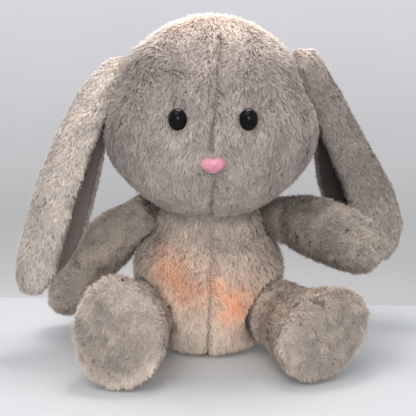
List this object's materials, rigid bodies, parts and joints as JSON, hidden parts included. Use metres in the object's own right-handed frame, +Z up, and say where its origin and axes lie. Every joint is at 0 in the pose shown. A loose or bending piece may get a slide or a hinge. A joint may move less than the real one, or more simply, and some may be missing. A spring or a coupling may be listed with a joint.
{
  "type": "plush night light",
  "caption": "Seated plush rabbit night light: a stuffed figure with folded lop ears and movable soft limbs, and a battery lamp that glows through the belly.",
  "frame": {"origin": "middle of the flat seat under the body, on the surface the toy sits on", "axes": "+Z up, the face looks along -Y, +X to the viewer's right"},
  "size_m": [0.2935, 0.1656, 0.249],
  "materials": {
    "plush": "short pile fur, matt",
    "lining": "smooth short velour",
    "stuffing": "loose polyester fibre",
    "tape": "woven hook and loop tape",
    "eye_black": "polished",
    "nose_pink": "satin",
    "white_plastic": "moulded satin",
    "frosted": "frosted, lets light through",
    "board": "lacquered",
    "led": "clear amber resin, glows",
    "cell_jacket": "printed film jacket",
    "steel": "nickel plated",
    "switch_black": "moulded",
    "lead_black": "soft insulation",
    "lead_red": "soft insulation"
  },
  "bodies": {
    "torso": {"torso_skin": "plush", "torso_filling": "stuffing", "loop_tape": "tape", "tail": "plush", "battery_case": "white_plastic", "battery_door": "white_plastic", "door_screw": "steel", "battery_1": "cell_jacket", "battery_2": "cell_jacket", "battery_3": "cell_jacket", "battery_spring_1": "steel", "battery_spring_2": "steel", "battery_spring_3": "steel", "contact_lower": "steel", "contact_upper": "steel", "lamp_tray": "white_plastic", "lamp_diffuser": "frosted", "circuit_board": "board", "led_1": "led", "led_2": "led", "led_3": "led", "led_4": "led", "led_5": "led", "switch_body": "switch_black", "lead_black": "lead_black", "lead_red": "lead_red"},
    "head": {"head_skin": "plush", "head_filling": "stuffing", "eye_left": "eye_black", "eye_right": "eye_black", "eye_washer_left": "white_plastic", "eye_washer_right": "white_plastic", "nose": "nose_pink", "nose_washer": "white_plastic"},
    "ear_left": {"ear_fur_left": "plush", "ear_lining_left": "lining"},
    "ear_right": {"ear_fur_right": "plush", "ear_lining_right": "lining"},
    "arm_left": {"arm_skin_left": "plush", "arm_filling_left": "stuffing"},
    "arm_right": {"arm_skin_right": "plush", "arm_filling_right": "stuffing"},
    "leg_left": {"leg_skin_left": "plush", "leg_filling_left": "stuffing", "sole_left": "plush"},
    "leg_right": {"leg_skin_right": "plush", "leg_filling_right": "stuffing", "sole_right": "plush"},
    "flap": {"back_flap": "plush", "hook_tape": "tape"},
    "button": {"push_button": "frosted"}
  },
  "joints": [
    {"name": "head_tilt", "type": "hinge", "parent": "torso", "child": "head", "pos_m": [0, 0, 0.092], "axis": [0, 1, 0], "range_deg": [-5, 5], "stiffness_Nm_per_rad": 1.5},
    {"name": "ear_left_lift", "type": "hinge", "parent": "head", "child": "ear_left", "pos_m": [-0.05592, -0.01, 0.221], "axis": [0, 1, 0], "range_deg": [0, 100]},
    {"name": "ear_right_lift", "type": "hinge", "parent": "head", "child": "ear_right", "pos_m": [0.05792, -0.01, 0.221], "axis": [0, -1, 0], "range_deg": [0, 100]},
    {"name": "arm_left_raise", "type": "hinge", "parent": "torso", "child": "arm_left", "pos_m": [-0.05075, 0, 0.1], "axis": [0, 1, 0], "range_deg": [-10, 30], "stiffness_Nm_per_rad": 0.4},
    {"name": "arm_right_raise", "type": "hinge", "parent": "torso", "child": "arm_right", "pos_m": [0.05075, 0, 0.1], "axis": [0, -1, 0], "range_deg": [-10, 12], "stiffness_Nm_per_rad": 0.4},
    {"name": "leg_left_raise", "type": "hinge", "parent": "torso", "child": "leg_left", "pos_m": [-0.05113, -0.02719, 0.031], "axis": [-1, 0, 0], "range_deg": [-15, 12], "stiffness_Nm_per_rad": 1.5},
    {"name": "leg_right_raise", "type": "hinge", "parent": "torso", "child": "leg_right", "pos_m": [0.05113, -0.02719, 0.031], "axis": [-1, 0, 0], "range_deg": [-15, 12], "stiffness_Nm_per_rad": 1.5},
    {"name": "flap_open", "type": "hinge", "parent": "torso", "child": "flap", "pos_m": [0, 0.04245, 0.1005], "axis": [1, 0, 0], "range_deg": [0, 100]},
    {"name": "button_press", "type": "slide", "parent": "torso", "child": "button", "axis": [0, 1, 0], "range_m": [0, 0.0015], "stiffness_N_per_m": 300}
  ]
}
